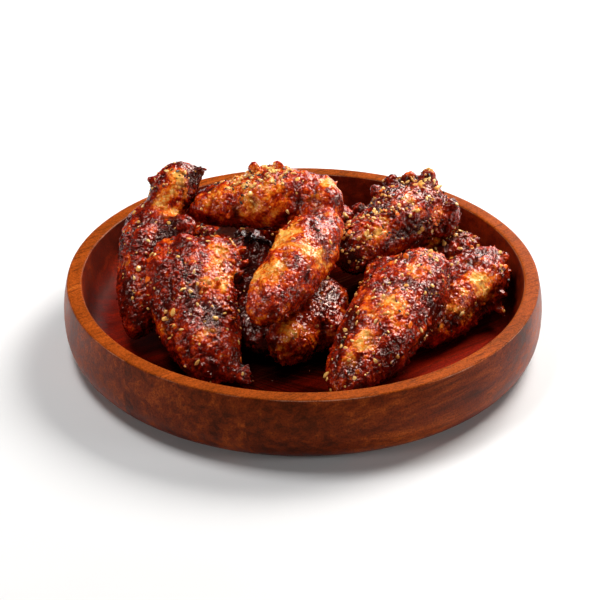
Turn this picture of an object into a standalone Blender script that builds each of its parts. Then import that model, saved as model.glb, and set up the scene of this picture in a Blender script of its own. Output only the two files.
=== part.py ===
"""A serving of glazed chicken wings heaped in a round turned-wood bowl.

Lengths in this file are in millimetres until MM turns them into metres. +Z is up, the
origin is at the middle of the bowl's underside, and -Y is the side that faces the diner.
"""

import math

import bmesh
import bpy
import numpy as np
from mathutils import Vector, noise

MM = 0.001

# The bowl.
RIM_RADIUS = 115.0
BELLY_RADIUS = 116.9
BELLY_HEIGHT = 20.0
FOOT_RADIUS = 99.0
BOWL_HEIGHT = 35.0
RIM_WIDTH = 7.6
RIM_ROUND = 1.2
FLOOR_HEIGHT = 8.5
FLOOR_FILLET = 13.0
WALL_DRAFT = 1.5
CORNER_POWER = 2.9
BOWL_SEGMENTS = 64
FOOT_STEPS = 7
FILLET_STEPS = 5
WALL_SHARES = (0.5, 1.0)
SHARP_ANGLE = 40.0
WOOD_COLOUR = (0.28, 0.085, 0.03)
WOOD_ROUGHNESS = 0.38

# The wings. Each profile is a limb's half size at even steps along it, as a share of the
# limb's full half size.
FLAT_WIDTHS = (0.9, 1.04, 0.86)
FLAT_THICKS = (0.8, 1.0, 1.06, 0.9)
DRUM_WIDTHS = (0.8, 1.1, 1.0)
DRUM_THICKS = (0.75, 1.0, 0.92)
TIP_WIDTHS = (1.0, 0.85, 0.45)
TIP_THICKS = (0.75, 0.6, 0.35)
WRIST_SHARE = 0.35
ELBOW_SHARE = 0.7
NECK_SHARE = 0.4
BLUNTNESS = 0.55
LIMB_RINGS = 18
LIMB_SIDES = 20
TANGENT_STEP = 0.01
VOXEL = 2.0
RELAX_FACTOR = 0.5
RELAX_ROUNDS = 5
LUMP_SIZE = 15.0
LUMP_DEPTH = 1.3
FINE_LUMPS = 2.1
FINE_SHARE = 0.5
LUMP_SHIFT = Vector((17.3, 5.1, 9.7))
WING_TRIANGLES = 600
GAP = 0.45
SLIVER = 0.02
CAVITY_TOP = 130.0
GLAZE_COLOUR = (0.30, 0.075, 0.015)
GLAZE_ROUGHNESS = 0.25


def clear_scene():
    for obj in list(bpy.data.objects):
        bpy.data.objects.remove(obj)


def material(name, colour, roughness):
    made = bpy.data.materials.new(name)
    made.use_nodes = True
    shader = made.node_tree.nodes["Principled BSDF"]
    shader.inputs["Base Color"].default_value = (*colour, 1.0)
    shader.inputs["Roughness"].default_value = roughness
    return made


def add_object(name, mesh, look=None):
    obj = bpy.data.objects.new(name, mesh)
    bpy.context.scene.collection.objects.link(obj)
    if look:
        mesh.materials.clear()
        mesh.materials.append(look)
    return obj


def evaluated_mesh(obj):
    """The mesh with all modifiers applied, after which the object is removed."""
    graph = bpy.context.evaluated_depsgraph_get()
    mesh = bpy.data.meshes.new_from_object(obj.evaluated_get(graph))
    bpy.data.objects.remove(obj)
    return mesh


# ---------------------------------------------------------------- bowl


def arc(centre, radius, start_deg, end_deg, steps):
    """Points (radius, height) on a circle in the bowl's section."""
    points = []
    for i in range(steps + 1):
        a = math.radians(start_deg + (end_deg - start_deg) * i / steps)
        points.append((centre[0] + radius * math.cos(a), centre[1] + radius * math.sin(a)))
    return points


def outer_side():
    """The outer wall's section, from the foot's edge up to just under the rim."""
    points = []
    for i in range(FOOT_STEPS + 1):
        a = math.pi / 2 * i / FOOT_STEPS
        out = math.sin(a) ** (2 / CORNER_POWER)
        up = 1 - math.cos(a) ** (2 / CORNER_POWER)
        points.append((FOOT_RADIUS + (BELLY_RADIUS - FOOT_RADIUS) * out, BELLY_HEIGHT * up))
    shoulder = BOWL_HEIGHT - RIM_ROUND
    for share in WALL_SHARES:
        z = BELLY_HEIGHT + (shoulder - BELLY_HEIGHT) * share
        points.append((BELLY_RADIUS - (BELLY_RADIUS - RIM_RADIUS) * share**2, z))
    return points


def inner_side(offset=0.0):
    """The cavity's section from the rim's inner edge down to the floor, moved inward by offset."""
    rim = RIM_RADIUS - RIM_WIDTH
    top = (rim - offset, BOWL_HEIGHT - RIM_ROUND)
    foot = rim - WALL_DRAFT
    fillet = FLOOR_FILLET - offset
    centre = (foot - FLOOR_FILLET, FLOOR_HEIGHT + FLOOR_FILLET)
    return [top, *arc(centre, fillet, 0, -90, FILLET_STEPS)]


def bowl_section():
    inner_rim = RIM_RADIUS - RIM_WIDTH
    z = BOWL_HEIGHT - RIM_ROUND
    outer_round = arc((RIM_RADIUS - RIM_ROUND, z), RIM_ROUND, 30, 90, 2)
    inner_round = arc((inner_rim + RIM_ROUND, z), RIM_ROUND, 90, 150, 2)
    return [
        (0.0, 0.0),
        *outer_side(),
        *outer_round,
        *inner_round,
        *inner_side(),
        (0.0, FLOOR_HEIGHT),
    ]


def turned(name, section, look=None):
    """A closed solid of revolution about Z. The section runs from the axis out and back to it."""
    bm = bmesh.new()
    rings = []
    for radius, z in section[1:-1]:
        ring = []
        for i in range(BOWL_SEGMENTS):
            a = 2 * math.pi * i / BOWL_SEGMENTS
            ring.append(bm.verts.new((radius * math.cos(a) * MM, radius * math.sin(a) * MM, z * MM)))
        rings.append(ring)
    ends = [bm.verts.new((0, 0, section[0][1] * MM)), bm.verts.new((0, 0, section[-1][1] * MM))]
    for i in range(BOWL_SEGMENTS):
        j = (i + 1) % BOWL_SEGMENTS
        bm.faces.new((ends[0], rings[0][j], rings[0][i]))
        bm.faces.new((ends[1], rings[-1][i], rings[-1][j]))
        for low, high in zip(rings, rings[1:]):
            bm.faces.new((low[i], low[j], high[j], high[i]))
    bmesh.ops.recalc_face_normals(bm, faces=bm.faces)
    mesh = bpy.data.meshes.new(name)
    bm.to_mesh(mesh)
    bm.free()
    mesh.shade_smooth()
    return add_object(name, mesh, look)


def make_bowl():
    bowl = turned("bowl", bowl_section(), material("oiled_wood", WOOD_COLOUR, WOOD_ROUGHNESS))
    bowl.data.set_sharp_from_angle(angle=math.radians(SHARP_ANGLE))
    return bowl


def make_cavity():
    """Guide solid: the space inside the bowl that food may fill, and the space above it."""
    section = [
        (0.0, FLOOR_HEIGHT + GAP),
        *reversed(inner_side(GAP)),
        (RIM_RADIUS - RIM_WIDTH - GAP, CAVITY_TOP),
        (0.0, CAVITY_TOP),
    ]
    cavity = turned("cavity_guide", section)
    cavity.hide_render = True
    cavity.display_type = "WIRE"
    return cavity


# ---------------------------------------------------------------- wings


def smooth_values(values, t):
    """Reads a short list of values as a smooth curve over t from 0 to 1."""
    at = t * (len(values) - 1)
    i = min(int(at), len(values) - 2)
    f = at - i
    f = f * f * (3 - 2 * f)
    return values[i] * (1 - f) + values[i + 1] * f


def spine_point(points, t):
    """A point on the Bezier curve whose control points are given."""
    points = list(points)
    while len(points) > 1:
        points = [a.lerp(b, t) for a, b in zip(points, points[1:])]
    return points[0]


def add_limb(bm, points, widths, thicks, up):
    """One bent, blunt-ended body along a spine. Widths and thicks are half sizes along it."""
    points = [Vector(p) for p in points]
    up = Vector(up).normalized()
    rings = []
    for k in range(1, LIMB_RINGS):
        u = k / LIMB_RINGS
        t = (1 - math.cos(math.pi * u)) / 2
        size = math.sin(math.pi * u) ** BLUNTNESS
        here = spine_point(points, t)
        ahead = spine_point(points, min(1, t + TANGENT_STEP))
        behind = spine_point(points, max(0, t - TANGENT_STEP))
        tangent = (ahead - behind).normalized()
        side = tangent.cross(up).normalized()
        top = side.cross(tangent)
        w = smooth_values(widths, t) * size
        h = smooth_values(thicks, t) * size
        ring = []
        for i in range(LIMB_SIDES):
            a = 2 * math.pi * i / LIMB_SIDES
            place = here + side * (w * math.cos(a)) + top * (h * math.sin(a))
            ring.append(bm.verts.new(place * MM))
        rings.append(ring)
    first = bm.verts.new(points[0] * MM)
    last = bm.verts.new(points[-1] * MM)
    for i in range(LIMB_SIDES):
        j = (i + 1) % LIMB_SIDES
        bm.faces.new((first, rings[0][i], rings[0][j]))
        bm.faces.new((last, rings[-1][j], rings[-1][i]))
        for a, b in zip(rings, rings[1:]):
            bm.faces.new((a[i], b[i], b[j], a[j]))


def add_knob(bm, centre, radii, axis=(1, 0, 0)):
    """A rounded joint or skin lump: an ellipsoid, radii[0] along axis."""
    turn = Vector(axis).to_track_quat("X", "Z").to_matrix()
    made = bmesh.ops.create_icosphere(bm, subdivisions=3, radius=1.0)
    for vert in made["verts"]:
        stretched = Vector(c * r for c, r in zip(vert.co, radii))
        vert.co = (turn @ stretched + Vector(centre)) * MM


def wing_mesh(name, limbs, knobs, seed):
    """Limbs and knobs fused to one skin by a voxel remesh, made lumpy, then thinned out."""
    bm = bmesh.new()
    for limb in limbs:
        add_limb(bm, **limb)
    for knob in knobs:
        add_knob(bm, *knob)
    bmesh.ops.recalc_face_normals(bm, faces=bm.faces)
    mesh = bpy.data.meshes.new(name)
    bm.to_mesh(mesh)
    bm.free()
    obj = add_object(name, mesh)
    fuse = obj.modifiers.new("fuse", "REMESH")
    fuse.mode = "VOXEL"
    fuse.voxel_size = VOXEL * MM
    relax = obj.modifiers.new("relax", "SMOOTH")
    relax.factor = RELAX_FACTOR
    relax.iterations = RELAX_ROUNDS
    mesh = evaluated_mesh(obj)
    make_lumpy(mesh, seed)
    obj = add_object(name, mesh)
    faces = sum(len(p.vertices) - 2 for p in mesh.polygons)
    thin = obj.modifiers.new("thin", "DECIMATE")
    thin.ratio = min(1.0, WING_TRIANGLES / faces)
    return evaluated_mesh(obj)


def make_lumpy(mesh, seed):
    """Pushes the skin in and out along its normals by a smooth noise."""
    shift = LUMP_SHIFT * seed
    moves = []
    for vert in mesh.vertices:
        at = vert.co / (LUMP_SIZE * MM) + shift
        depth = noise.noise(at) + FINE_SHARE * noise.noise(at * FINE_LUMPS)
        moves.append(vert.co + vert.normal * depth * LUMP_DEPTH * MM)
    for vert, place in zip(mesh.vertices, moves):
        vert.co = place


def swollen(obj):
    """A hidden copy of a finished piece, grown by the gap, that cuts room for it in the next one."""
    mesh = obj.data.copy()
    normals = [v.normal.copy() for v in mesh.vertices]
    for vert, normal in zip(mesh.vertices, normals):
        vert.co += normal * GAP * MM
    cutter = add_object(obj.name + "_cutter", mesh)
    cutter.hide_render = True
    cutter.display_type = "WIRE"
    return cutter


def boolean(obj, other, operation):
    cut = obj.modifiers.new(operation.lower(), "BOOLEAN")
    cut.operation = operation
    cut.object = other
    cut.solver = "EXACT"
    cut.use_self = operation == "DIFFERENCE"


def boxes_meet(a, b):
    pairs = []
    for obj in (a, b):
        co = np.array([v.co for v in obj.data.vertices])
        pairs.append((co.min(0), co.max(0)))
    (lo_a, hi_a), (lo_b, hi_b) = pairs
    return bool((lo_a < hi_b).all() and (lo_b < hi_a).all())


def keep_largest_body(mesh):
    """Drops any crumb that a cut left apart from the wing, and welds its slivers."""
    bm = bmesh.new()
    bm.from_mesh(mesh)
    bmesh.ops.remove_doubles(bm, verts=bm.verts, dist=SLIVER * MM)
    bmesh.ops.dissolve_degenerate(bm, edges=bm.edges, dist=SLIVER * MM)
    left = set(bm.verts)
    bodies = []
    while left:
        body = set()
        edge_of = [left.pop()]
        while edge_of:
            vert = edge_of.pop()
            body.add(vert)
            for edge in vert.link_edges:
                other = edge.other_vert(vert)
                if other in left:
                    left.discard(other)
                    edge_of.append(other)
        bodies.append(body)
    bodies.sort(key=len)
    crumbs = [v for body in bodies[:-1] for v in body]
    bmesh.ops.delete(bm, geom=crumbs, context="VERTS")
    bmesh.ops.triangulate(bm, faces=bm.faces)
    bmesh.ops.recalc_face_normals(bm, faces=bm.faces)
    bm.to_mesh(mesh)
    bm.free()


def place_wing(name, spec, cavity, finished, look):
    """Makes one wing, rests it in the bowl and on the wings already there, and returns it."""
    mesh = wing_mesh(name, **spec)
    obj = add_object(name, mesh)
    boolean(obj, cavity, "INTERSECT")
    for cutter in finished:
        if boxes_meet(obj, cutter):
            boolean(obj, cutter, "DIFFERENCE")
    mesh = evaluated_mesh(obj)
    keep_largest_body(mesh)
    obj = add_object(name, mesh, look)
    finished.append(swollen(obj))
    return obj


def flat_limb(wrist, elbow, width, thick, up, taper=0.62):
    """The middle joint of a wing: two side-by-side bones under the skin, broad at the elbow."""
    wrist = Vector(wrist)
    elbow = Vector(elbow)
    return {
        "points": [wrist, wrist.lerp(elbow, WRIST_SHARE), wrist.lerp(elbow, ELBOW_SHARE), elbow],
        "widths": [width * taper, *(width * share for share in FLAT_WIDTHS)],
        "thicks": [thick * share for share in FLAT_THICKS],
        "up": up,
    }


def drum_limb(knuckle, shoulder, radius, up, taper=0.6):
    """The drumette: a small club, thick at the shoulder and narrow at the knuckle."""
    knuckle = Vector(knuckle)
    shoulder = Vector(shoulder)
    return {
        "points": [knuckle, knuckle.lerp(shoulder, NECK_SHARE), shoulder],
        "widths": [radius * taper, *(radius * share for share in DRUM_WIDTHS)],
        "thicks": [radius * taper, *(radius * share for share in DRUM_THICKS)],
        "up": up,
    }


def tip_limb(start, end, radius, up):
    """The pointed last joint of a wing, or a curled edge of skin."""
    start = Vector(start)
    end = Vector(end)
    return {
        "points": [start, start.lerp(end, 0.5), end],
        "widths": [radius * share for share in TIP_WIDTHS],
        "thicks": [radius * share for share in TIP_THICKS],
        "up": up,
    }


def wings():
    """Every wing of the heap, lowest first: the later ones rest on the earlier ones."""
    return {
        "wing_back_low": {
            "limbs": [
                flat_limb((-60, 58, 20), (28, 66, 27), 18, 13, (0, 0.3, 1)),
                tip_limb((-52, 58, 18), (-68, 46, 14), 7, (0, 0, 1)),
            ],
            "knobs": [((18, 65, 28), (9, 11, 10))],
        },
        "wing_back_right_low": {
            "limbs": [
                flat_limb((30, 38, 20), (90, 40, 25), 15, 12, (-0.2, 0.1, 1)),
            ],
            "knobs": [((79, 40, 27), (9, 10, 9)), ((70, 52, 24), (12, 9, 9))],
        },
        "wing_center_back": {
            "limbs": [
                flat_limb((-20, -42, 16), (-30, 52, 29), 15, 11, (0, -0.1, 1), taper=0.8),
            ],
            "knobs": [((-22, 24, 34), (8, 9, 7)), ((-38, 44, 33), (5, 5, 6))],
        },
        "wing_center_low": {
            "limbs": [
                drum_limb((-11, -48, 18), (13, 6, 23), 17, (0, 0, 1), taper=0.75),
            ],
            "knobs": [((-8, -40, 20), (10, 10, 11)), ((14, -28, 19), (8, 9, 9))],
        },
        "wing_right": {
            "limbs": [
                flat_limb((54, -32, 15), (97, 26, 30), 16.5, 14.5, (-0.3, -0.3, 1), taper=0.85),
                tip_limb((92, -2, 20), (100, -11, 16), 4.5, (0, 0, 1)),
            ],
            "knobs": [((88, 14, 30), (10, 9, 8)), ((74, 6, 32), (9, 8, 7))],
        },
        "wing_back_left": {
            "limbs": [
                flat_limb((-79, -30, 17), (-78, 38, 50), 14, 12, (-1, 0, 0.35), taper=0.8),
                drum_limb((-76, 28, 42), (-58, 47, 70), 11, (0.4, -1, 0.2), taper=1.15),
            ],
            "knobs": [
                ((-71, 23, 45), (13, 12, 12)),
                ((-61, 17, 50), (9, 9, 8)),
                ((-59, 44, 64), (9, 9, 8)),
                ((-52, 45, 68), (5, 4, 3.5)),
                ((-69, 43, 61), (5, 4, 5)),
            ],
        },
        "wing_front_left": {
            "limbs": [
                flat_limb((-40, -63, 14), (-64, 14, 46), 22, 13, (-0.1, -0.45, 1), taper=0.8),
                tip_limb((-40, -52, 16), (-23, -66, 12), 8, (0, 0, 1)),
                tip_limb((-38, 17, 46), (-31, -11, 40), 6.5, (1, 0, 0.3)),
            ],
            "knobs": [((-46, 6, 44), (11, 8, 7)), ((-67, -8, 41), (10, 12, 8))],
        },
        "wing_back_right": {
            "limbs": [
                flat_limb((17, 4, 38), (67, 54, 52), 16, 13.5, (0.3, -0.4, 1), taper=0.85),
            ],
            "knobs": [((61, 50, 55), (8, 8, 8)), ((70, 42, 42), (9, 9, 10)), ((46, 40, 52), (9, 9, 8))],
        },
        "wing_front_right": {
            "limbs": [
                flat_limb((16, -77, 15), (64, 4, 43), 21, 14, (0, -0.35, 1), taper=0.66),
            ],
            "knobs": [((57, -8, 42), (12, 10, 9)), ((41, -8, 40), (11, 9, 8))],
        },
        "wing_top": {
            "limbs": [
                drum_limb((-59, 38, 51), (17, 34, 61), 15.5, (0, 0, 1), taper=0.62),
                flat_limb((-21, -55, 41), (13, 20, 55), 16, 14, (-0.5, -0.5, 1), taper=0.8),
            ],
            "knobs": [((9, 27, 58), (11, 11, 12)), ((-16, 40, 68), (12, 7, 5))],
        },
    }


def main():
    clear_scene()
    make_bowl()
    cavity = make_cavity()
    glaze = material("glazed_skin", GLAZE_COLOUR, GLAZE_ROUGHNESS)
    finished = []
    for seed, (name, spec) in enumerate(wings().items(), start=1):
        place_wing(name, {**spec, "seed": seed}, cavity, finished, glaze)


main()
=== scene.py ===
"""Looks for a serving of glazed chicken wings in a turned wooden bowl.

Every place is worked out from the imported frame: a spot on a wing is given as shares of that
wing's own box. Lengths are metres, and constants that end in _MM are millimetres.
"""
import math

import bmesh
import bpy
import numpy as np
from mathutils import Euler, Matrix, Vector


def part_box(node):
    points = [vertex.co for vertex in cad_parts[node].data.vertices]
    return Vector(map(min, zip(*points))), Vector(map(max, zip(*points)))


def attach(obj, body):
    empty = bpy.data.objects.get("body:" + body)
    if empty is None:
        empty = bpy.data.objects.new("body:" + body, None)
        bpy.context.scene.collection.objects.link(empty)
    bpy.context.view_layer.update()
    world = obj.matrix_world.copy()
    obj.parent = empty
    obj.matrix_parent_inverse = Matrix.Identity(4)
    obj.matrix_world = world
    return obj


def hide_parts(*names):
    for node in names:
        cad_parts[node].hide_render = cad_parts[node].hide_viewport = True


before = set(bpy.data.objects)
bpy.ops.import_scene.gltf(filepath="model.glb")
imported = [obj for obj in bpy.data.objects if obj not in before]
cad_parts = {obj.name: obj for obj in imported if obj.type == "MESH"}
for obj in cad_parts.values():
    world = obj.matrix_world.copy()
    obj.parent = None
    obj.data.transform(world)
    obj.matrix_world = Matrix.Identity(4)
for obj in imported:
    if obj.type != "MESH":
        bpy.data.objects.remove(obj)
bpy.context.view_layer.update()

MM = 0.001
SEED = 11

# Wings: how finely the skin is built, how far the CAD form is rounded, then swelled back.
VOXEL_MM = 0.62
RELAX_ROUNDS = 26
SWELL_MM = 0.5
# Crisp bits of crust fused to the skin: how many on a wing whose crust is 1, and their radius.
CRUST_BITS = 150
CRUST_BIT_MM = (0.5, 1.35)
# How tall each kind of relief on the skin is.
FOLD_MM = 0.95
BLISTER_MM = 0.75
PEBBLE_MM = 0.42
CRINKLE_MM = 0.55
FINE_MM = 0.16

# The bowl: how far below its top the rim's colour starts and is full, the heights between which
# its inner wall gets cleaner, and those between which the painted shadow fades out on the wall.
RIM_EDGE_MM = (3.5, 1.2)
BARE_WALL_MM = (10, 26)
PAINTED_SHADOW_REACH_MM = (8, 18)

# The camera, which looks along +Y and aims a little off the middle of the bowl, in radians.
CAMERA_ELEVATION = math.radians(29.4)
CAMERA_DISTANCE = 1.1
CAMERA_AIM_HEIGHT = 0.035
LENS_MM = 135.5
SENSOR_MM = 36.0
AIM_RIGHT = 0.00129
AIM_DOWN = 0.01178

# Soft studio lights: (name, place, width and height, watts, colour). All aim at the heap.
LIGHT_AIM = (0.0, 0.0, 0.03)
LIGHTS = (
    ("key_right", (0.48, 0.50, 0.72), (0.50, 0.50), 13.5, (1.0, 0.97, 0.94)),
    ("top_left", (-0.30, 0.12, 0.90), (0.30, 0.30), 5.0, (1.0, 1.0, 1.0)),
    ("back", (0.35, 0.95, 0.36), (0.4, 0.2), 2.5, (1.0, 1.0, 1.0)),
    ("left_side", (-0.85, -0.50, 0.30), (0.3, 0.3), 2.2, (1.0, 1.0, 1.0)),
    ("right_side", (0.95, -0.35, 0.28), (0.3, 0.3), 3.0, (1.0, 1.0, 1.0)),
)
STUDIO_GLOW = 0.03
FLOOR_HALF_WIDTH = 3.0


# ---------------------------------------------------------------- noise


# A common integer hash: a large prime for each axis, one for the salt, and the mixing rounds.
AXIS_PRIMES = (73856093, 19349663, 83492791)
SALT_PRIME = 2654435761
MIX_ROUNDS = ((16, 0x7FEB352D), (15, 0x846CA68B))
LOW_BITS = np.uint64(0xFFFFFFFF)
# Moves the noise of one salt away from the next, and brings its swing to about -1 to 1.
SALT_STEP = 7.31
NOISE_GAIN = 1.7


def hashed(cell, salt):
    """A repeatable random number from 0 to 1 for each whole-number cell."""
    x, y, z = (cell[:, i].astype(np.uint64) * np.uint64(AXIS_PRIMES[i]) for i in range(3))
    h = x ^ y ^ z
    h = (h ^ np.uint64(salt * SALT_PRIME % 2**32)) & LOW_BITS
    for shift, factor in MIX_ROUNDS:
        h = ((h ^ (h >> np.uint64(shift))) * np.uint64(factor)) & LOW_BITS
    h = h ^ (h >> np.uint64(16))
    return h.astype(np.float64) / 2**32


def smooth_noise(points, size, salt):
    """Gradient noise, about -1 to 1, whose lumps are about size across."""
    p = points / size + salt * SALT_STEP
    cell = np.floor(p).astype(np.int64)
    f = p - cell
    w = f * f * f * (f * (f * 6 - 15) + 10)
    total = np.zeros(len(p))
    for corner in np.ndindex(2, 2, 2):
        at = cell + corner
        angle = hashed(at, salt) * 2 * np.pi
        rise = hashed(at, salt + 101) * 2 - 1
        flat = np.sqrt(1 - rise * rise)
        slope = np.stack([flat * np.cos(angle), flat * np.sin(angle), rise], 1)
        share = np.prod(np.where(np.array(corner) == 1, w, 1 - w), 1)
        total += share * ((f - corner) * slope).sum(1)
    return total * NOISE_GAIN


def layered_noise(points, size, salt, layers=3):
    """Smooth noise with finer, fainter layers on top."""
    total = np.zeros(len(points))
    for k in range(layers):
        total += smooth_noise(points, size / 2.03**k, salt + k) * 0.55**k
    return total


def cell_noise(points, size, salt):
    """Distances to the nearest and second nearest of scattered points, in shares of size."""
    p = points / size
    cell = np.floor(p).astype(np.int64)
    near = np.full(len(p), 9.0)
    second = np.full(len(p), 9.0)
    for step in np.ndindex(3, 3, 3):
        at = cell + np.array(step) - 1
        scattered = at + np.stack([hashed(at, salt + k) for k in range(3)], 1)
        gap = np.sqrt(((p - scattered) ** 2).sum(1))
        second = np.minimum(second, np.maximum(near, gap))
        near = np.minimum(near, gap)
    return near, second


def smooth_step(low, high, value):
    """0 at low, 1 at high, with soft ends; low may be above high."""
    t = np.clip((value - low) / (high - low), 0, 1)
    return t * t * (3 - 2 * t)


# ---------------------------------------------------------------- node materials


class Nodes:
    """A short way to write a material's node tree; scales are features per metre."""

    def __init__(self, name):
        self.material = bpy.data.materials.new(name)
        self.material.use_nodes = True
        self.tree = self.material.node_tree
        self.shader = self.tree.nodes["Principled BSDF"]

    def add(self, kind, settings=(), **inputs):
        """A new node with its settings, and its inputs set or linked."""
        node = self.tree.nodes.new("ShaderNode" + kind)
        for key, value in dict(settings).items():
            setattr(node, key, value)
        for key, value in inputs.items():
            self.put(node, key.replace("_", " "), value)
        return node

    def put(self, node, key, value):
        """Sets or links an input, named by its label or by i and its number."""
        if key[:1] == "i" and key[1:].isdigit():
            socket = node.inputs[int(key[1:])]
        else:
            socket = node.inputs[key]
        if isinstance(value, bpy.types.NodeSocket):
            self.tree.links.new(value, socket)
        elif isinstance(value, bpy.types.Node):
            self.tree.links.new(value.outputs[0], socket)
        else:
            socket.default_value = value

    def attribute(self, name):
        """A value stored at the mesh's points."""
        return self.add("Attribute", {"attribute_name": name}).outputs["Fac"]

    def position(self):
        """The place on the object, in metres."""
        return self.add("TexCoord").outputs["Object"]

    def noise(self, vector, scale, detail=3.0, roughness=0.55, distortion=0.0):
        """Noise from 0 to 1, mostly from 0.3 to 0.7."""
        node = self.add("TexNoise", Vector=vector, Scale=scale, Detail=detail, Roughness=roughness)
        node.inputs["Distortion"].default_value = distortion
        return node.outputs["Fac"]

    def math(self, operation, a, b=0.0, clamp=False):
        """One sum on two numbers or outputs."""
        settings = {"operation": operation, "use_clamp": clamp}
        return self.add("Math", settings, i0=a, i1=b).outputs[0]

    def ramp(self, value, stops):
        """Colours by value; each stop is (value, colour)."""
        node = self.add("ValToRGB", Fac=value)
        marks = node.color_ramp.elements
        while len(marks) < len(stops):
            marks.new(0.5)
        for mark, (place, colour) in zip(marks, stops):
            mark.position = place
            mark.color = (*colour, 1.0)
        return node.outputs["Color"]

    def range(self, value, low, high, to_low=0.0, to_high=1.0):
        """Takes low..high to to_low..to_high, and holds it there."""
        node = self.add("MapRange", Value=value)
        limits = {"From Min": low, "From Max": high, "To Min": to_low, "To Max": to_high}
        for key, number in limits.items():
            node.inputs[key].default_value = number
        return node.outputs["Result"]

    def mix(self, factor, a, b, blend="MIX"):
        """Colour a at factor 0 and b, or a blended with b, at 1."""
        node = self.add("Mix", {"data_type": "RGBA", "blend_type": blend})
        self.put(node, "i0", factor)
        self.put(node, "i6", a if not isinstance(a, tuple) else (*a, 1.0))
        self.put(node, "i7", b if not isinstance(b, tuple) else (*b, 1.0))
        return node.outputs[2]

    def bump(self, height, strength, distance, normal=None):
        """Fine relief, on top of another bump where one is given."""
        node = self.add("Bump", Height=height, Strength=strength, Distance=distance)
        if normal:
            self.put(node, "Normal", normal)
        return node.outputs["Normal"]

    def finish(self, **inputs):
        """Sets the shader's own inputs and gives the material."""
        for key, value in inputs.items():
            self.put(self.shader, key.replace("_", " "), value)
        return self.material


# Glazed skin from the thickest, darkest glaze to bare golden skin.
SKIN_TONES = (
    (0.0, (0.060, 0.0024, 0.0006)),
    (0.20, (0.165, 0.0050, 0.0008)),
    (0.40, (0.360, 0.0125, 0.0011)),
    (0.58, (0.63, 0.060, 0.0024)),
    (0.78, (0.87, 0.20, 0.0095)),
    (1.0, (0.93, 0.45, 0.085)),
)
# Darker glaze in the pits, and painted shade in the creases.
DARK_GLAZE_AND_CREASE_SHADE_COLOUR = (0.030, 0.0012, 0.0005)
BURNT_COLOUR = (0.022, 0.0026, 0.0012)
GLAZE_TINT = (1.0, 0.70, 0.60, 1.0)


def skin_material():
    """Browned skin under a sticky glaze: golden where it is thin, deep red-brown, charred in spots."""
    n = Nodes("glazed_skin_look")
    where = n.position()
    gold = n.attribute("gold")
    crease_shade = n.attribute("crease_shade")
    char = n.attribute("char")
    wet = n.attribute("wet")
    # How golden each point is: its attribute, broken up by blotches, patches and flecks.
    blotch = n.noise(where, 160.0, 3.0, 0.55, 0.4)
    patch = n.noise(where, 400.0, 2.0, 0.5, 0.6)
    fleck = n.noise(where, 900.0, 3.0, 0.6)
    tone = n.math("ADD", gold, n.range(blotch, 0.3, 0.7, -0.26, 0.24))
    tone = n.math("ADD", tone, n.range(patch, 0.3, 0.7, -0.16, 0.16))
    tone = n.math("ADD", tone, n.range(fleck, 0.3, 0.7, -0.18, 0.16))
    colour = n.ramp(tone, SKIN_TONES)
    # Darker glaze in random pits, painted shade in the creases where the skin lies low, and burnt spots
    # over both.
    pits = n.range(n.noise(where, 330.0, 3.0, 0.6), 0.56, 0.70)
    dark = n.math("MULTIPLY", pits, n.range(gold, 0.35, 0.9, 0.6, 0.1))
    dark = n.math("MAXIMUM", dark, crease_shade, clamp=True)
    colour = n.mix(dark, colour, DARK_GLAZE_AND_CREASE_SHADE_COLOUR)
    burnt = n.math("MULTIPLY", char, n.range(fleck, 0.4, 0.6, 0.2, 1.0), clamp=True)
    colour = n.mix(burnt, colour, BURNT_COLOUR)
    # Wet zones shine most and are finely wrinkled; burnt spots are duller.
    shine = n.math("SUBTRACT", 1.0, n.math("MULTIPLY", burnt, 0.55))
    shine = n.math("MULTIPLY", shine, n.range(wet, 0.0, 1.0, 0.32, 1.0))
    sticky = n.range(n.noise(where, 300.0, 3.0), 0.35, 0.65, 0.10, 0.26)
    ripple = n.noise(where, 350.0, 2.0, 0.5, 0.5)
    grain = n.add("TexVoronoi", {"feature": "SMOOTH_F1"}, Vector=where, Scale=850.0)
    normal = n.bump(ripple, n.range(wet, 0.0, 1.0, 0.45, 1.0), 1.4 * MM)
    fine = n.range(wet, 0.0, 1.0, 0.25, 0.60)
    normal = n.bump(grain.outputs["Distance"], fine, 0.5 * MM, normal)
    return n.finish(
        Base_Color=colour,
        Roughness=sticky,
        Specular_IOR_Level=shine,
        Specular_Tint=GLAZE_TINT,
        Normal=normal,
    )


def topping_material(name, light, dark, roughness, scale):
    """A grain or flake, each a little different in tone."""
    n = Nodes(name)
    where = n.position()
    tone = n.noise(where, scale, 3.0, 0.6)
    tone = n.math("ADD", n.math("MULTIPLY", tone, 0.5), n.math("MULTIPLY", n.attribute("tone"), 0.7))
    colour = n.ramp(tone, [(0.15, dark), (0.75, light)])
    normal = n.bump(n.noise(where, scale * 3.0, 3.0), 0.3, 0.3 * MM)
    return n.finish(
        Base_Color=colour,
        Roughness=roughness,
        Specular_IOR_Level=0.25,
        Normal=normal,
        Coat_Weight=0.7,
        Coat_Roughness=0.12,
    )


# The oiled outside of the wood, from its dark streaks to its pale ones.
WOOD_TONES = (
    (0.30, (0.040, 0.0045, 0.0010)),
    (0.46, (0.135, 0.0160, 0.0024)),
    (0.62, (0.290, 0.0480, 0.0060)),
    (0.78, (0.480, 0.1250, 0.0180)),
)
# The inside is the same wood through this stain, then a little of the flat red.
STAIN = (0.95, 0.15, 0.05)
STAIN_FLAT = (0.22, 0.006, 0.0012)
# Painted shadow: the near-black laid on the bowl's floor where the wings shade it.
PAINTED_SHADOW_COLOUR = (0.006, 0.0005, 0.0003)
RIM_COLOUR = (0.46, 0.090, 0.008)
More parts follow.
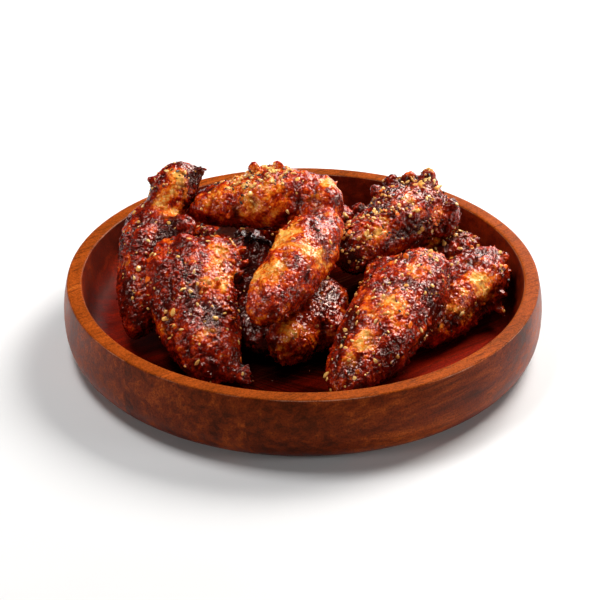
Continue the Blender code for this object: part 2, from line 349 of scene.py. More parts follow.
# The rim's rounded edges: paler with wear, and partly a painted pinkish sheen.
RIM_EDGE_WEAR_AND_SHEEN_COLOUR = (0.50, 0.22, 0.13)
PORE_COLOUR = (0.04, 0.008, 0.003)
WOOD_TINT = (1.0, 0.42, 0.20, 1.0)
# The boards: how they are turned, where a joint lies and how many fit in a metre.
BOARD_TURN = (0.0, math.radians(4), math.radians(-36))
BOARD_START = 0.019
BOARDS_PER_METRE = 17.0


def streaks(n, vector, scale, detail, stretch):
    """Noise drawn out along the grain."""
    grain = n.add("Mapping", Vector=vector)
    grain.inputs["Scale"].default_value = (stretch, 1.0, 1.0)
    return n.noise(grain.outputs[0], scale, detail, 0.6, 0.5)


def wood_material():
    """Oiled red-brown wood, turned from boards glued side by side."""
    n = Nodes("oiled_wood_look")
    where = n.position()
    inside = n.attribute("inside")
    rim = n.attribute("rim")
    painted_shadow = n.attribute("painted_shadow")
    # Each board reads the noise at a chance place of its own, so that its streaks are its own.
    turned = n.add("Mapping", Vector=where)
    turned.inputs["Rotation"].default_value = BOARD_TURN
    across = n.add("SeparateXYZ", Vector=turned.outputs[0])
    board = n.math("ADD", across.outputs["Y"], BOARD_START)
    board = n.math("FLOOR", n.math("MULTIPLY", board, BOARDS_PER_METRE))
    chance = n.add("TexWhiteNoise", {"noise_dimensions": "1D"}, W=board)
    shifted = n.add("VectorMath", {"operation": "ADD"})
    n.put(shifted, "i0", turned.outputs[0])
    n.put(shifted, "i1", chance.outputs["Color"])
    # Wide bands, fibres and clouds, and how dark each board is, add up to the tone.
    bands = streaks(n, shifted.outputs[0], 26.0, 3.0, 0.16)
    fibres = streaks(n, shifted.outputs[0], 260.0, 4.0, 0.05)
    pores = streaks(n, shifted.outputs[0], 900.0, 2.0, 0.06)
    cloud = n.noise(where, 22.0, 3.0, 0.5)
    tone = n.math("MULTIPLY", bands, 0.60)
    tone = n.math("ADD", tone, n.math("MULTIPLY", fibres, 0.60))
    tone = n.math("ADD", tone, n.math("MULTIPLY", cloud, 0.45))
    tone = n.math("ADD", tone, n.range(chance.outputs["Value"], 0.0, 1.0, -0.38, -0.26))
    outer = n.ramp(tone, WOOD_TONES)
    # The stained inside, the painted shadow of the wings on it, and the worn rim with its paler edges,
    # which are partly a painted sheen.
    stained_and_shadowed = n.mix(0.95, outer, STAIN, "MULTIPLY")
    stained_and_shadowed = n.mix(0.12, stained_and_shadowed, STAIN_FLAT)
    # Painted shadow of the wings on the floor.
    stained_and_shadowed = n.mix(painted_shadow, stained_and_shadowed, PAINTED_SHADOW_COLOUR)
    colour = n.mix(inside, outer, stained_and_shadowed)
    colour = n.mix(rim, colour, n.mix(0.45, outer, RIM_COLOUR))
    # The rim's rounded edges are paler: partly wear, partly a painted sheen.
    edge = n.math("MULTIPLY", n.math("MULTIPLY", rim, n.math("SUBTRACT", 1.0, rim)), 3.0)
    edge = n.math("MULTIPLY", edge, n.range(n.noise(where, 30.0, 3.0), 0.42, 0.58), clamp=True)
    colour = n.mix(edge, colour, RIM_EDGE_WEAR_AND_SHEEN_COLOUR)
    # Dark pores and fine specks.
    dots = n.range(pores, 0.56, 0.68, 0.0, 0.6)
    colour = n.mix(dots, colour, PORE_COLOUR)
    speck = n.range(n.noise(where, 1300.0, 2.0, 0.6), 0.35, 0.65, 0.62, 1.3)
    speck = n.add("CombineColor", Red=speck, Green=speck, Blue=speck).outputs[0]
    colour = n.mix(1.0, colour, speck, "MULTIPLY")
    # The rim and the floor are dull, the inner wall is wiped to a soft sheen, the painted shadow has
    # none.
    shine = n.math("SUBTRACT", 0.18, n.math("MULTIPLY", rim, 0.15))
    shine = n.math("SUBTRACT", shine, n.math("MULTIPLY", inside, 0.12))
    height = n.add("SeparateXYZ", Vector=where).outputs["Z"]
    low, high = (edge * MM for edge in BARE_WALL_MM)
    wiped = n.math("MULTIPLY", inside, n.range(height, low, high, 0.0, 0.55))
    shine = n.math("ADD", shine, wiped)
    shine = n.math("MULTIPLY", shine, n.range(painted_shadow, 0.0, 0.6, 1.0, 0.0))
    rough = n.range(fibres, 0.3, 0.7, 0.32, 0.48)
    rough = n.math("ADD", rough, n.math("MULTIPLY", inside, 0.14))
    normal = n.bump(fibres, 0.25, 0.4 * MM)
    normal = n.bump(pores, 0.25, 0.2 * MM, normal)
    return n.finish(
        Base_Color=colour,
        Roughness=rough,
        Specular_IOR_Level=shine,
        Specular_Tint=WOOD_TINT,
        Normal=normal,
    )


def floor_material():
    """Plain pale matt floor, hardly mottled."""
    n = Nodes("floor_look")
    tone = n.noise(n.position(), 8.0, 2.0)
    colour = n.ramp(tone, [(0.3, (0.78, 0.78, 0.78)), (0.7, (0.80, 0.80, 0.80))])
    return n.finish(Base_Color=colour, Roughness=0.7)


# ---------------------------------------------------------------- meshes


def add_object(name, mesh, material):
    """Puts a finished piece in the scene, riding on the root."""
    obj = bpy.data.objects.new(name, mesh)
    bpy.context.scene.collection.objects.link(obj)
    mesh.materials.clear()
    mesh.materials.append(material)
    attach(obj, "root")
    return obj


def mesh_points(mesh):
    """The vertices' places, one row each."""
    co = np.zeros(len(mesh.vertices) * 3)
    mesh.vertices.foreach_get("co", co)
    return co.reshape(-1, 3)


def mesh_normals(mesh):
    """The vertices' normals, one row each."""
    normals = np.zeros(len(mesh.vertices) * 3)
    mesh.vertex_normals.foreach_get("vector", normals)
    return normals.reshape(-1, 3)


def face_values(mesh, key, width):
    """One value of every face, such as its centre, one row each."""
    values = np.zeros(len(mesh.polygons) * width)
    mesh.polygons.foreach_get(key, values)
    return values.reshape(-1, width)


def mesh_from(bm, name):
    """Turns an edit mesh into a mesh, and frees it."""
    mesh = bpy.data.meshes.new(name)
    bm.to_mesh(mesh)
    bm.free()
    return mesh


def welded(node, name):
    """A copy of a CAD node's mesh with its loose corners joined."""
    bm = bmesh.new()
    bm.from_mesh(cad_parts[node].data)
    bmesh.ops.remove_doubles(bm, verts=bm.verts, dist=1e-6)
    return mesh_from(bm, name)


def set_points(mesh, points):
    """Moves the vertices to these places."""
    mesh.vertices.foreach_set("co", points.ravel())
    mesh.update()


def set_attribute(mesh, name, values):
    """Stores a number at each vertex for the material to read."""
    layer = mesh.attributes.new(name, "FLOAT", "POINT")
    layer.data.foreach_set("value", np.asarray(values, dtype=np.float32))


def applied(mesh, *modifiers):
    """The mesh after the given modifiers, each (type, settings)."""
    obj = bpy.data.objects.new("working", mesh)
    bpy.context.scene.collection.objects.link(obj)
    for kind, settings in modifiers:
        modifier = obj.modifiers.new(kind, kind)
        for key, value in settings.items():
            setattr(modifier, key, value)
    graph = bpy.context.evaluated_depsgraph_get()
    result = bpy.data.meshes.new_from_object(obj.evaluated_get(graph))
    bpy.data.objects.remove(obj)
    return result


def merged(shapes, name, smooth):
    """One mesh from many small ones, each (points, faces, tone)."""
    points = []
    faces = []
    tones = []
    start = 0
    for co, tri, tone in shapes:
        points.append(co)
        faces.extend((tri + start).tolist())
        tones.append(np.full(len(co), tone))
        start += len(co)
    mesh = bpy.data.meshes.new(name)
    mesh.from_pydata(np.concatenate(points).tolist(), [], faces)
    set_attribute(mesh, "tone", np.concatenate(tones))
    if smooth:
        mesh.shade_smooth()
    return mesh


# ---------------------------------------------------------------- wings

# What each wing shows. base: how golden it is all over. crust: how rough and crumbly it is.
# char: how burnt, and below 0 hardly at all. gold: golden patches, each (share of the wing's
# box x, y, z, radius in mm, strength). wet: where the glaze shines most, each (x, y, z share,
# radius in mm). nubs: crisp points of skin, each (x, y, z share, direction, length in mm,
# radius in mm).
WINGS = {
    "wing_top": {
        "base": 0.42,
        "crust": 0.55,
        "char": -0.6,
        "gold": [
            (0.22, 0.82, 0.72, 9, 0.2),
            (0.45, 0.74, 0.80, 11, 0.26),
            (0.9, 0.8, 0.9, 9, 0.35),
            (0.62, 0.42, 0.72, 13, 0.5),
            (0.55, 0.2, 0.6, 12, 0.45),
            (0.8, 0.31, 0.70, 9, 0.38),
            (0.89, 0.36, 0.54, 7, 0.32),
        ],
        "wet": [(0.85, 0.39, 0.74, 11), (0.88, 0.62, 0.92, 9), (0.5, 0.06, 0.45, 6)],
        "nubs": [(0.44, 0.9, 0.93, (0, 0.2, 1), 1.2, 3.8), (0.58, 0.9, 0.92, (0.3, 0, 1), 0.8, 2.8)],
    },
    "wing_back_left": {
        "base": 0.24,
        "crust": 0.9,
        "char": 0.05,
        "gold": [
            (0.66, 0.76, 0.92, 9, 0.45),
            (0.56, 0.72, 0.76, 11, 0.46),
            (0.75, 0.7, 0.64, 9, 0.5),
            (0.15, 0.4, 0.45, 9, 0.25),
            (0.62, 0.40, 0.5, 9, 0.45),
        ],
        "wet": [(0.85, 0.85, 0.95, 7), (0.5, 0.5, 0.6, 9), (0.8, 0.3, 0.4, 8)],
        "nubs": [
            (0.93, 0.86, 0.97, (1, -0.2, 0.3), 3.2, 2.0),
            (0.42, 0.84, 0.86, (-0.6, 0, 1), 1.5, 2.8),
            (0.98, 0.62, 0.55, (1, -0.3, -0.2), 3.0, 2.4),
        ],
    },
    "wing_front_left": {
        "base": 0.32,
        "crust": 1.0,
        "char": 0.0,
        "gold": [
            (0.66, 0.78, 0.86, 10, 0.38),
            (0.68, 0.58, 0.80, 11, 0.45),
            (0.66, 0.42, 0.74, 9, 0.3),
            (0.2, 0.6, 0.6, 8, 0.4),
            (0.3, 0.4, 0.55, 7, 0.3),
            (0.6, 0.18, 0.5, 8, 0.2),
        ],
        "wet": [(0.78, 0.62, 0.78, 9), (0.45, 0.55, 0.78, 8), (0.6, 0.3, 0.66, 8), (0.9, 0.12, 0.3, 8)],
        "nubs": [
            (0.95, 0.1, 0.15, (0.6, -1, -0.3), 3.0, 2.4),
            (0.90, 0.93, 0.86, (0.5, 0.5, 0.6), 3.0, 2.6),
            (0.97, 0.86, 0.84, (1, 0, 0.6), 3.0, 2.2),
            (0.99, 0.76, 0.76, (1, 0, 0.5), 3.0, 2.0),
            (0.99, 0.66, 0.70, (1, 0, 0.4), 2.6, 2.0),
            (0.99, 0.57, 0.64, (1, 0, 0.3), 2.0, 1.8),
        ],
    },
    "wing_back_right": {
        "base": 0.30,
        "crust": 1.1,
        "char": 0.2,
        "gold": [
            (0.40, 0.25, 0.75, 9, 0.45),
            (0.30, 0.15, 0.62, 7, 0.4),
            (0.85, 0.55, 0.65, 7, 0.35),
            (0.6, 0.5, 0.9, 8, 0.25),
        ],
        "wet": [(0.5, 0.6, 0.95, 10), (0.25, 0.1, 0.5, 7), (0.85, 0.8, 0.9, 9)],
        "nubs": [
            (0.74, 0.9, 0.95, (0.3, 0.0, 1), 0.5, 3.6),
            (0.62, 0.9, 0.95, (0, 0.0, 1), 1.0, 4.0),
            (0.46, 0.9, 0.9, (-0.1, 0.1, 1), 2.5, 4.5),
            (0.33, 0.8, 0.8, (-0.1, 0.2, 1), 3.5, 4.5),
            (0.22, 0.6, 0.7, (-0.2, 0.2, 1), 2.5, 4.0),
            (0.95, 0.7, 0.75, (1, 0, 0.5), 2.0, 3.4),
        ],
    },
    "wing_front_right": {
        "base": 0.34,
        "crust": 0.85,
        "char": -0.5,
        "gold": [
            (0.72, 0.66, 0.93, 9, 0.24),
            (0.45, 0.42, 0.8, 13, 0.42),
            (0.3, 0.22, 0.58, 11, 0.38),
            (0.18, 0.12, 0.44, 6, 0.3),
        ],
        "wet": [(0.75, 0.8, 0.92, 10), (0.7, 0.5, 0.8, 8), (0.45, 0.16, 0.5, 8), (0.2, 0.08, 0.3, 6)],
        "nubs": [],
    },
    "wing_right": {
        "base": 0.34,
        "crust": 0.85,
        "char": 0.2,
        "gold": [(0.7, 0.4, 0.85, 13, 0.5), (0.5, 0.2, 0.6, 10, 0.32)],
        "wet": [(0.35, 0.65, 0.92, 9), (0.85, 0.65, 0.85, 8), (0.6, 0.25, 0.6, 8)],
        "nubs": [
            (0.98, 0.45, 0.5, (1, -0.3, 0.1), 2.0, 2.6),
            (0.92, 0.8, 0.8, (0.8, 0.3, 0.2), 1.5, 3.0),
        ],
    },
    "wing_center_low": {
        "base": 0.42,
        "crust": 0.8,
        "char": -0.2,
        "gold": [(0.24, 0.03, 0.66, 8, 0.36), (0.5, 0.1, 0.7, 7, 0.2)],
        "wet": [(0.24, 0.03, 0.66, 5), (0.7, 0.4, 0.85, 8), (0.85, 0.7, 0.9, 6)],
        "nubs": [],
    },
    # Painted shade: wing_center_back lies deep in the shade between the other wings, so it gets almost
    # no gold and much burnt colour, to look dark.
    "wing_center_back": {
        "base": 0.02,
        "crust": 0.9,
        "char": 0.6,
        "gold": [],
        "wet": [(0.6, 0.2, 0.7, 8)],
        "nubs": [],
    },
    "wing_back_right_low": {
        "base": 0.24,
        "crust": 1.0,
        "char": 0.3,
        "gold": [(0.6, 0.3, 0.8, 7, 0.4)],
        "wet": [(0.6, 0.5, 0.95, 8)],
        "nubs": [],
    },
    "wing_back_low": {
        "base": 0.34,
        "crust": 0.8,
        "char": 0.15,
        "gold": [(0.35, 0.5, 0.9, 12, 0.45), (0.7, 0.6, 0.9, 10, 0.35)],
        "wet": [(0.3, 0.5, 0.95, 9), (0.8, 0.6, 0.9, 9)],
        "nubs": [],
    },
}


# The bare bone end: its place as shares of the box of wing_center_back, and its knobs, each
# (offset in mm, radius in mm).
BONE_PLACE = (0.135, 0.83, 0.92)
BONE_KNOBS = (
    ((0, 0, 3.5), 3.4),
    ((3.2, -0.5, 4.2), 2.8),
    ((-3.0, -1, 1.0), 2.4),
    ((1.0, -1.5, -1.0), 3.2),
    ((0.5, -2.5, -4.5), 3.0),
)


def spot(node, shares):
    """A point given as shares of a node's box."""
    low, high = (np.array(corner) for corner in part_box(node))
    return low + (high - low) * np.array(shares)


def add_nub(bm, base, direction, length, radius, rng):
    """A crisp, lumpy point of skin, thick at its base, from a row of fused balls."""
    turn = Vector(direction).to_track_quat("Z", "Y").to_matrix().to_4x4()
    place = Matrix.Translation(Vector(base)) @ turn
    balls = 4
    for k in range(balls):
        share = k / (balls - 1)
        size = radius * (1 - 0.35 * share) * rng.uniform(0.85, 1.15)
        offset = Vector((*rng.uniform(-0.25, 0.25, 2) * radius, length * share))
        bmesh.ops.create_icosphere(
            bm, subdivisions=2, radius=size, matrix=place @ Matrix.Translation(offset)
        )


def rough_body(node, look, rng):
    """The wing's closed body before its skin relief: the CAD form with crust bits fused on."""
    voxel = VOXEL_MM * MM
    smooth = applied(
        welded(node, node),
        ("REMESH", {"mode": "VOXEL", "voxel_size": voxel}),
        ("SMOOTH", {"factor": 0.6, "iterations": RELAX_ROUNDS}),
    )
    points = mesh_points(smooth)
    normals = mesh_normals(smooth)
    points = points + normals * SWELL_MM * MM
    set_points(smooth, points)
    bm = bmesh.new()
    bm.from_mesh(smooth)
    for *shares, direction, length, radius in look["nubs"]:
        centre = spot(node, shares)
        nearest = np.argmin(((points - centre) ** 2).sum(1))
        add_nub(bm, points[nearest], direction, length * MM, radius * MM, rng)
    rough = smooth_step(-0.1, 0.5, smooth_noise(points, 16 * MM, 5) + 0.35 * look["crust"])
    bits = int(CRUST_BITS * look["crust"])
    chosen = rng.choice(len(points), bits, p=rough / rough.sum())
    for i in chosen:
        radius = rng.uniform(*CRUST_BIT_MM) * MM
        squash = Matrix.Diagonal((*rng.uniform(0.7, 1.5, 3), 1.0))
        turn = Euler(rng.uniform(0, 6.28, 3)).to_matrix().to_4x4()
        place = Matrix.Translation(Vector(points[i] + normals[i] * radius * 0.25)) @ turn @ squash
        bmesh.ops.create_icosphere(bm, subdivisions=1, radius=radius, matrix=place)
    return applied(
        mesh_from(bm, node),
        ("REMESH", {"mode": "VOXEL", "voxel_size": voxel}),
        ("SMOOTH", {"factor": 0.5, "iterations": 2}),
    )


def make_bone(material):
    """The knuckle of bare bone that sticks out of wing_center_back."""
    rng = np.random.default_rng(SEED + 7)
    bm = bmesh.new()
    base = Vector(spot("wing_center_back", BONE_PLACE))
    for offset, radius in BONE_KNOBS:
        place = Matrix.Translation(base + Vector(offset) * MM)
        bmesh.ops.create_icosphere(bm, subdivisions=3, radius=radius * MM, matrix=place)
    mesh = applied(
        mesh_from(bm, "bone_end"),
        ("REMESH", {"mode": "VOXEL", "voxel_size": 0.4 * MM}),
        ("SMOOTH", {"factor": 0.6, "iterations": 8}),
    )
    points = mesh_points(mesh)
    relief = 0.5 * layered_noise(points, 3.5 * MM, int(rng.integers(900)), 3)
    set_points(mesh, points + mesh_normals(mesh) * relief[:, None] * MM)
    set_attribute(mesh, "tone", 0.5 + 0.5 * smooth_noise(points, 4 * MM, 17))
    mesh.shade_smooth()
    return add_object("bone_end", mesh, material)


def long_axis(points):
    """The direction in which a wing is longest, from about 2000 of its points."""
    centred = points - points.mean(0)
    sample = centred[:: max(1, len(points) // 2000)]
    return np.linalg.svd(sample, full_matrices=False)[2][0]


def skin_relief(points, crust, salt):
    """How far each point of a wing's skin rises, in metres."""
    axis = long_axis(points)
    along = (points @ axis)[:, None] * axis
    stretched = points - along * 0.7
    patchy = smooth_noise(points, 14 * MM, salt + 3)
    rough = np.clip(0.55 + 0.75 * patchy, 0.12, 1.0) * crust
    folds = layered_noise(stretched, 7.5 * MM, salt + 20, 2)
    wavy = points + 0.8 * MM * smooth_noise(points, 3 * MM, salt)[:, None]
    near, second = cell_noise(wavy, 4.6 * MM, salt + 30)
    blisters = smooth_step(0.0, 0.55, second - near)
    near, second = cell_noise(points, 2.3 * MM, salt + 40)
    pebbles = smooth_step(0.0, 0.5, second - near)
    crinkle = 1 - np.abs(layered_noise(points, 2.6 * MM, salt + 50, 2))
    fine = layered_noise(points, 1.5 * MM, salt + 60, 2)
    return (
        FOLD_MM * folds
        + BLISTER_MM * (blisters - 0.7) * (0.35 + 0.65 * rough)
        + PEBBLE_MM * (pebbles - 0.7) * (0.3 + 0.7 * rough)
        + CRINKLE_MM * (crinkle - 0.8) * (0.3 + 0.7 * rough)
        + FINE_MM * fine
    ) * MM


def near_spot(points, node, shares, radius, inner, outer, edge=1.0):
    """1 around a spot on a wing and 0 away from it; inner and outer are shares of the radius."""
    gap = np.sqrt(((points - spot(node, shares)) ** 2).sum(1))
    return 1 - smooth_step(inner, outer, gap / (radius * MM * edge))


def skin_looks(node, look, points, normals, height, salt):
    """The values that the skin's material reads at each point, by name."""
    gold = look["base"] + 0.22 * smooth_noise(points, 11 * MM, salt + 70)
    gold += 0.12 * smooth_noise(points, 5 * MM, salt + 71)
    edge = 1 + 0.35 * smooth_noise(points, 6 * MM, salt + 72)
    for *shares, radius, strength in look["gold"]:
        gold += strength * near_spot(points, node, shares, radius, 0.35, 1.15, edge)
    gold -= 0.18 * smooth_step(0.2, -0.9, normals[:, 2])
    burnt = smooth_noise(points, 9 * MM, salt + 80) + look["char"] * 0.55
    burnt = smooth_step(0.25, 0.75, burnt) * smooth_step(0.75, 0.45, gold)
    thin_glaze = smooth_step(0.45, 0.85, gold)
    # Painted shade in the creases: darkest where the skin's relief lies lowest, less so where the glaze
    # is thin.
    crease_shade = smooth_step(0.25 * MM, 1.15 * MM, -height) * (0.9 - 0.6 * thin_glaze)
    wet = 0.25 + 0.5 * smooth_noise(points, 9 * MM, salt + 90)
    for *shares, radius in look["wet"]:
        wet += 0.8 * near_spot(points, node, shares, radius, 0.5, 1.4)
    return {"gold": gold, "char": burnt * 0.85, "crease_shade": crease_shade, "wet": np.clip(wet, 0, 1)}


def make_wing(node, look, material, salt):
    """One wing: its body, the relief of its skin, and what its material reads."""
    mesh = rough_body(node, look, np.random.default_rng(SEED + salt))
    points = mesh_points(mesh)
    normals = mesh_normals(mesh)
    height = skin_relief(points, look["crust"], salt)
    set_points(mesh, points + normals * height[:, None])
    for name, values in skin_looks(node, look, points, normals, height, salt).items():
        set_attribute(mesh, name, values)
    mesh.shade_smooth()
    piece = add_object(node + "_skin", mesh, material)
    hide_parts(node)
    return piece


# ---------------------------------------------------------------- toppings


def lump_shape(rng, sizes, roundness=0.25):
    """A small uneven grain: a ball pressed on six sides, flat at roundness 0, not at all at 1."""
    bm = bmesh.new()
    bmesh.ops.create_icosphere(bm, subdivisions=2, radius=0.5)
    co = np.array([v.co for v in bm.verts])
    faces = np.array([[v.index for v in f.verts] for f in bm.faces])
    bm.free()
    for _ in range(6):
        cut = rng.normal(size=3)
        cut /= np.linalg.norm(cut)
        limit = rng.uniform(0.24, 0.40)
        over = np.maximum(co @ cut - limit, 0)
        co -= over[:, None] * cut * (1 - roundness)
    return co * np.array(sizes), faces


def seed_shape(rng, sizes):
    """A flat teardrop."""
    co, faces = lump_shape(rng, (1, 1, 1), 0.9)
    co[:, 1] *= 1 - 0.55 * (co[:, 0] + 0.5)
    return co * np.array(sizes), faces


def flake_shape(rng, sizes):
    """A thin, bent, uneven chip: two ringed faces, low and high, and a band between them."""
    sides = 8
    rings = 2
    co = []
    for level in (-0.5, 0.5):
        for ring in range(1, rings + 1):
            reach = 0.5 * ring / rings
            for k in range(sides):
                angle = 2 * math.pi * k / sides
                co.append((math.cos(angle) * reach, math.sin(angle) * reach, level))
        co.append((0, 0, level))
    co = np.array(co)
    ragged = rng.uniform(0.65, 1.1, sides)
    per = rings * sides + 1
    for top in (0, per):
        for ring in range(rings):
            co[top + ring * sides : top + (ring + 1) * sides, :2] *= ragged[:, None]
    co = co * np.array(sizes)
    co[:, 2] += rng.uniform(-0.35, 0.35) * sizes[0] * (co[:, 0] / sizes[0]) ** 2
    faces = []
    for top, flip in ((0, True), (per, False)):
        hub = top + rings * sides
        for k in range(sides):
            j = (k + 1) % sides
            a, b = top + k, top + j
            c, d = top + sides + k, top + sides + j
            for tri in ((hub, a, b), (a, c, d), (a, d, b)):
                faces.append(tri[::-1] if flip else tri)
    for k in range(sides):
        j = (k + 1) % sides
        low_k, low_j = sides + k, sides + j
        faces.append((low_k, low_j, per + low_j))
        faces.append((low_k, per + low_j, per + low_k))
    return co, np.array(faces)


# Toppings hold on skin that faces up: its normal's height, where they start and are thickest.
FACING_UP = (-0.1, 0.5)
# How far a topping leans from lying flat on the skin.
LEAN = 0.35
# Crumbs lie on the bowl's floor, this far from the middle.
CRUMB_REACH = (0.03, 0.085)
# How thickly toppings lie on each wing all over.
SPREAD = {
    "wing_top": 0.05,
    "wing_back_right": 0.55,
    "wing_front_left": 0.16,
    "wing_front_right": 0.20,
    "wing_back_left": 0.12,
    "wing_right": 0.12,
    "wing_back_right_low": 0.45,
    "wing_back_low": 0.25,
    "wing_center_low": 0.04,
    "wing_center_back": 0.02,
}
# Where they lie thickest: (wing, share of its box x, y, z, radius in mm, how thick).
PILES = (
    ("wing_top", 0.30, 0.88, 0.86, 8, 2.4),
    ("wing_top", 0.45, 0.86, 0.95, 9, 3.6),
    ("wing_top", 0.62, 0.85, 0.98, 7, 2.0),
    ("wing_top", 0.70, 0.45, 0.82, 7, 0.3),
    ("wing_back_right", 0.45, 0.45, 0.90, 10, 0.8),
    ("wing_back_right", 0.75, 0.80, 0.97, 8, 0.9),
    ("wing_back_right", 0.15, 0.15, 0.60, 8, 0.8),
    ("wing_front_left", 0.35, 0.80, 0.85, 8, 0.5),
    ("wing_front_left", 0.50, 0.45, 0.75, 8, 0.4),
    ("wing_back_left", 0.60, 0.85, 0.95, 9, 0.6),
    ("wing_front_right", 0.85, 0.75, 0.90, 10, 0.5),
    ("wing_right", 0.30, 0.80, 0.90, 8, 0.4),
)


def pile_thickness(node, centres):
    """How thickly toppings lie at each of these points of a wing."""
    thick = np.full(len(centres), SPREAD[node])
    for wing, *shares, radius, strength in PILES:
        if wing == node:
            gap = ((centres - spot(node, shares)) ** 2).sum(1)
            thick += strength * np.exp(-gap / (radius * MM) ** 2)
    return thick


def scatter(pieces, count, rng, clump, salt):
    """Random spots on the wings' upper skin, each a row of point and normal, thicker in piles."""
    spots = []
    chances = []
    for piece in pieces:
        centres = face_values(piece.data, "center", 3)
        normals = face_values(piece.data, "normal", 3)
        areas = face_values(piece.data, "area", 1)[:, 0]
        thick = pile_thickness(piece.name.removesuffix("_skin"), centres)
        chance = areas * thick * smooth_step(*FACING_UP, normals[:, 2])
        if clump:
            gathered = smooth_step(-0.1, 0.6, smooth_noise(centres, 6 * MM, salt))
            chance *= gathered * clump + 1 - clump
        spots.append(np.hstack([centres, normals]))
        chances.append(chance)
    spots = np.concatenate(spots)
    chances = np.concatenate(chances)
    picked = rng.choice(len(spots), count, replace=False, p=chances / chances.sum())
    return spots[picked]


def crumb_spots(bowl, count, rng):
    """Random spots on the bowl's floor, each a row of point and normal."""
    half_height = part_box("bowl")[1][2] / 2
    near, far = CRUMB_REACH
    rows = []
    for polygon in bowl.data.polygons:
        centre = polygon.center
        on_floor = polygon.normal.z > 0.95 and centre.z < half_height
        if on_floor and near < math.hypot(centre.x, centre.y) < far:
            rows.append((*centre, *polygon.normal))
    rows = np.array(rows)
    picked = rows[rng.choice(len(rows), count)]
    picked[:, :2] += rng.normal(size=(count, 2)) * 1.5 * MM
    return picked


def stand_on(co, row, rng, lift):
    """Turns a shape flat to the skin at a row of point and normal, spins it and lifts it a little."""
    normal = Vector(row[3:] + rng.normal(size=3) * LEAN).normalized()
    spin = Matrix.Rotation(rng.uniform(0, 6.28), 3, "Z")
    turn = normal.to_track_quat("Z", "Y").to_matrix() @ spin
    return co @ np.array(turn).T + row[:3] + np.array(normal) * lift


# Length, width and thickness of a grain of length 1.
GRAIN = np.array((1.0, 0.72, 0.5))


def garlic_granule(rng):
    """A chip of dried garlic, mostly small."""
    length = 1.2 + 2.6 * rng.uniform() ** 3
    return lump_shape(rng, length * MM * GRAIN * rng.uniform(0.75, 1.25, 3))


def sesame_seed(rng):
    """A sesame seed, 3 mm long."""
    return seed_shape(rng, np.array((3.1, 2.0, 0.9)) * MM * rng.uniform(0.85, 1.1))


def chilli_flake(rng):
    """A thin flake of dried chilli."""
    return flake_shape(rng, np.array((4.0, 2.8, 0.35)) * MM * rng.uniform(0.6, 1.2))


def herb_fleck(rng):
    """A fleck of dried herb or pepper."""
    return flake_shape(rng, np.array((2.0, 1.0, 0.3)) * MM * rng.uniform(0.5, 1.3))


def crumb(rng):
    """A crumb of crust."""
    return lump_shape(rng, rng.uniform(0.7, 2.2) * MM * GRAIN * rng.uniform(0.7, 1.2, 3))


# Each kind of topping: (piece, how many, the function that makes one, how clumped, how far it
# is lifted in mm, whether it is smooth rather than faceted).
KINDS = (
    ("garlic_granules", 880, garlic_granule, 0.9, 0.1, False),
    ("sesame_seeds", 110, sesame_seed, 0.7, 0.25, True),
    ("chilli_flakes", 60, chilli_flake, 0.0, 0.35, True),
    ("herb_flecks", 330, herb_fleck, 0.8, 0.25, True),
    ("crumbs", 46, crumb, 0.0, 0.2, True),
)
# Each kind's material: (name, light colour, dark colour, roughness, mottles per metre).
KIND_LOOKS = {
    "garlic_granules": ("garlic_look", (1.0, 0.54, 0.13), (0.72, 0.21, 0.016), 0.35, 500.0),
    "sesame_seeds": ("sesame_look", (0.98, 0.60, 0.20), (0.70, 0.30, 0.05), 0.35, 300.0),
    "chilli_flakes": ("chilli_look", (0.95, 0.16, 0.008), (0.45, 0.022, 0.003), 0.3, 300.0),
    "herb_flecks": ("herb_look", (0.050, 0.026, 0.010), (0.008, 0.004, 0.002), 0.4, 400.0),
    "bone_end": ("bone_look", (1.0, 0.84, 0.74), (0.80, 0.52, 0.42), 0.5, 300.0),
    "crumbs": ("crumb_look", (0.30, 0.07, 0.012), (0.05, 0.010, 0.003), 0.4, 400.0),
}
# The first of the noise salts that clump each kind.
CLUMP_SALT = 900


def make_toppings(pieces, bowl):
    """Scatters every kind of topping over the wings, and crumbs over the bowl's floor."""
    rng = np.random.default_rng(SEED + 100)
    for k, (name, count, make_one, clump, lift, smooth) in enumerate(KINDS):
        if name == "crumbs":
            rows = crumb_spots(bowl, count, rng)
        else:
            rows = scatter(pieces, count, rng, clump, CLUMP_SALT + k)
        shapes = []
        for row in rows:
            co, faces = make_one(rng)
            co = stand_on(co, row, rng, lift * MM)
            shapes.append((co, faces, rng.uniform()))
        look = topping_material(*KIND_LOOKS[name])
        add_object(name, merged(shapes, name, smooth), look)


# ---------------------------------------------------------------- bowl


# Painted shadow: the bowl's floor is painted near-black under these wings, where they shade it, and in
# a
# patch at the front: its middle as shares of the bowl's box, and its radius.
SHADOWING_WINGS = ("wing_top", "wing_front_left", "wing_center_low", "wing_center_back", "wing_back_right")
FRONT_SHADOW = (0.5, 0.12, 0)
FRONT_SHADOW_MM = 30
SHADOW_PAST_WING_MM = 6


def painted_shadow_on(points):
    """How much painted shadow lies on each point of the bowl, from 0 to 1."""
    flat = points[:, :2]
    front_shadow = spot("bowl", FRONT_SHADOW)[:2]
    nearest = np.hypot(*(flat - front_shadow).T) / (FRONT_SHADOW_MM * MM)
    for node in SHADOWING_WINGS:
        low, high = (np.array(corner)[:2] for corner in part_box(node))
        reach = (high - low) / 2 + SHADOW_PAST_WING_MM * MM
        nearest = np.minimum(nearest, np.hypot(*((flat - (low + high) / 2) / reach).T))
    nearest = nearest + 0.10 * smooth_noise(points, 14 * MM, 61)
    low, high = (height * MM for height in PAINTED_SHADOW_REACH_MM)
    nearest = nearest + 0.6 * smooth_step(low, high, points[:, 2])
    return smooth_step(1.22, 0.85, nearest)


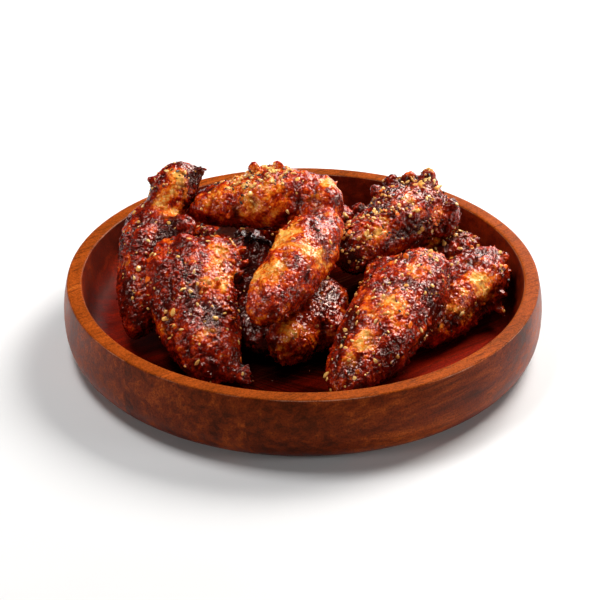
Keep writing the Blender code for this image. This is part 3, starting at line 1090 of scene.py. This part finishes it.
def make_bowl(material):
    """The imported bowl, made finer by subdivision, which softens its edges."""
    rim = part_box("bowl")[1][2]
    settings = {"levels": 2, "render_levels": 2, "subdivision_type": "CATMULL_CLARK"}
    mesh = applied(welded("bowl", "bowl_wood"), ("SUBSURF", settings))
    points = mesh_points(mesh)
    normals = mesh_normals(mesh)
    height = points[:, 2]
    radius = np.hypot(points[:, 0], points[:, 1])
    outward = (normals[:, :2] * points[:, :2]).sum(1) / np.maximum(radius, 1e-5)
    inside = smooth_step(0.1, -0.1, outward)
    inside = np.maximum(inside, smooth_step(0.5, 0.9, normals[:, 2]) * (height < rim - 4 * MM))
    inside *= height > 4 * MM
    low, high = (rim - depth * MM for depth in RIM_EDGE_MM)
    top = smooth_step(0.35, 0.8, normals[:, 2]) * smooth_step(low, high, height)
    low, high = (edge * MM for edge in BARE_WALL_MM)
    bare = 0.4 * smooth_step(low, high, height)
    set_attribute(mesh, "inside", inside * (1 - top) * (1 - bare))
    set_attribute(mesh, "rim", top)
    # Painted shadow on the floor under the wings and at the front.
    set_attribute(mesh, "painted_shadow", 0.97 * painted_shadow_on(points) * inside)
    mesh.shade_smooth()
    piece = add_object("bowl_wood", mesh, material)
    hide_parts("bowl")
    return piece


# ---------------------------------------------------------------- set


def add_light(name, place, size, power, colour):
    """A square or oblong light that faces the heap."""
    light = bpy.data.lights.new(name, "AREA")
    light.shape = "RECTANGLE"
    light.size, light.size_y = size
    light.energy = power
    light.color = colour
    obj = bpy.data.objects.new(name, light)
    bpy.context.scene.collection.objects.link(obj)
    obj.location = place
    obj.rotation_euler = (Vector(LIGHT_AIM) - Vector(place)).to_track_quat("-Z", "Y").to_euler()


def make_floor():
    """The ground that the bowl stands on, just below its foot."""
    bm = bmesh.new()
    bmesh.ops.create_grid(bm, x_segments=8, y_segments=8, size=FLOOR_HALF_WIDTH)
    mesh = mesh_from(bm, "floor")
    obj = bpy.data.objects.new("floor", mesh)
    bpy.context.scene.collection.objects.link(obj)
    obj.location.z = -0.2 * MM
    mesh.materials.append(floor_material())


def make_lights():
    """A faint even glow and the soft lights."""
    world = bpy.data.worlds.new("studio")
    bpy.context.scene.world = world
    world.use_nodes = True
    background = world.node_tree.nodes["Background"]
    background.inputs["Color"].default_value = (1.0, 1.0, 1.0, 1.0)
    background.inputs["Strength"].default_value = STUDIO_GLOW
    for light in LIGHTS:
        add_light(*light)
    bpy.context.scene.view_settings.view_transform = "Standard"


def make_camera():
    """A long lens from the front, looking down on the bowl."""
    data = bpy.data.cameras.new("camera")
    data.lens = LENS_MM
    data.sensor_width = SENSOR_MM
    camera = bpy.data.objects.new("camera", data)
    bpy.context.scene.collection.objects.link(camera)
    aim = Vector((0.0, 0.0, CAMERA_AIM_HEIGHT))
    back = Vector((0.0, -math.cos(CAMERA_ELEVATION), math.sin(CAMERA_ELEVATION)))
    camera.location = aim + back * CAMERA_DISTANCE
    turn = (-back).to_track_quat("-Z", "Y")
    nudge = Euler((-AIM_DOWN, AIM_RIGHT, 0.0)).to_quaternion()
    camera.rotation_euler = (turn @ nudge).to_euler()
    bpy.context.scene.camera = camera


def main():
    """Builds the set, the bowl, the wings and what lies on them."""
    make_camera()
    make_lights()
    make_floor()
    bowl = make_bowl(wood_material())
    skin = skin_material()
    pieces = [make_wing(node, look, skin, 10 * k) for k, (node, look) in enumerate(WINGS.items())]
    make_bone(topping_material(*KIND_LOOKS["bone_end"]))
    make_toppings(pieces, bowl)


main()
